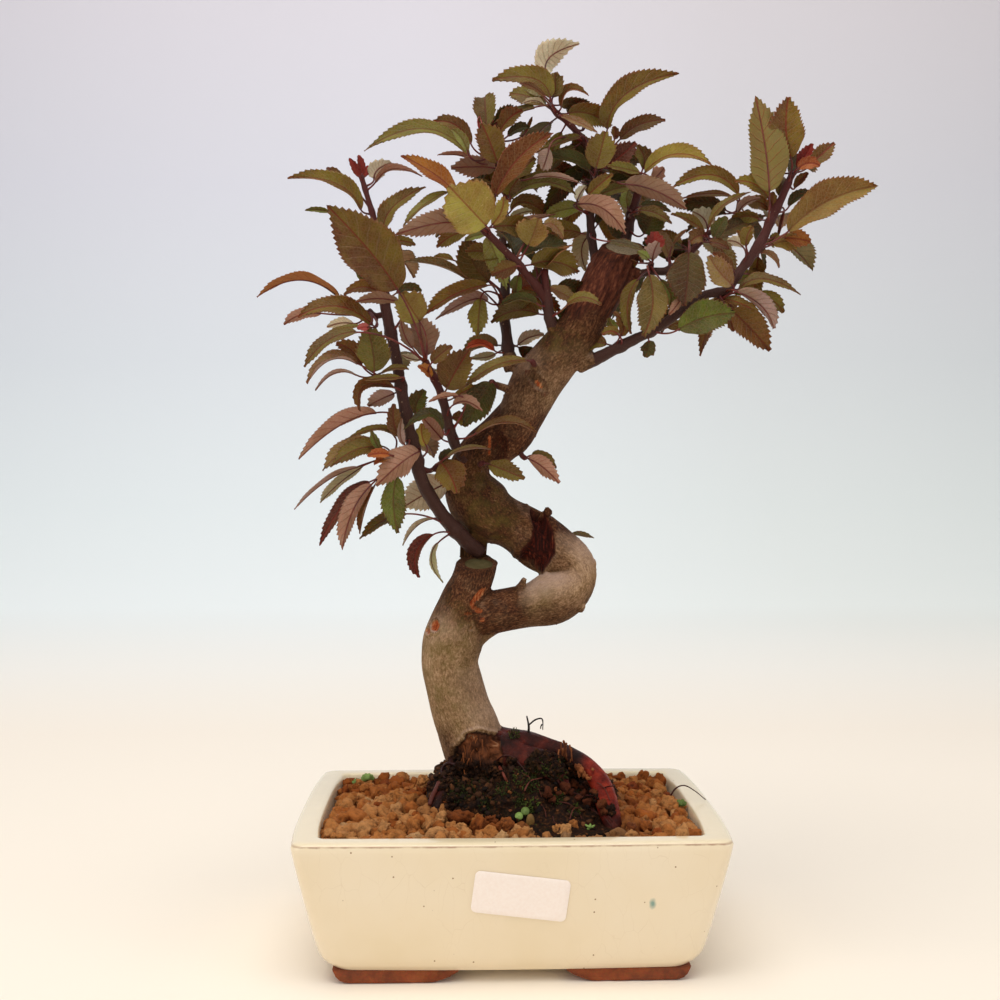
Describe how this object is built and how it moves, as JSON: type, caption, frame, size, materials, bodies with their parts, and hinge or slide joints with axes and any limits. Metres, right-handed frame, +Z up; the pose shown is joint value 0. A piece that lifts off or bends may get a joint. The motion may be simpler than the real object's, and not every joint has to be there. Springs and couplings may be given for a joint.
{
  "type": "apple bonsai in a glazed pot",
  "caption": "Bronze-leaved apple bonsai: looping pruned trunk, arching surface root and leafy shoots, growing in granular soil in a footed cream-glazed rectangular pot.",
  "frame": {"origin": "middle of the whole piece's bounding box in plan, at the level of the soles of the pot's feet", "axes": "+Z up; the pot's long front wall faces -Y; +X to the right seen from the front"},
  "size_m": [0.2658, 0.1312, 0.3951],
  "materials": {
    "pot_glaze": "gloss",
    "drain_net": "matte",
    "label_paper": "satin",
    "soil_granules": "matte",
    "humus_moss": "matte",
    "bark": "matte",
    "foliage_bronze": "satin",
    "foliage_olive": "satin"
  },
  "bodies": {
    "root": {"pot": "pot_glaze", "drain_net_left": "drain_net", "drain_net_right": "drain_net", "label": "label_paper", "soil": "soil_granules", "root_mound": "humus_moss", "trunk": "bark", "shoot_left": "foliage_bronze", "shoot_mid_left": "foliage_bronze", "shoot_centre": "foliage_olive", "shoot_pruned_twig": "foliage_olive", "shoot_right": "foliage_bronze", "shoot_upper_right": "foliage_olive", "shoot_top": "foliage_olive", "shoot_behind_stump": "foliage_olive", "leaf_long_front": "foliage_olive", "leaf_dark_left": "foliage_olive", "leaf_pair_under_trunk": "foliage_bronze", "leaf_blunt_front": "foliage_bronze", "leaf_behind_loop": "foliage_olive"}
  },
  "joints": []
}
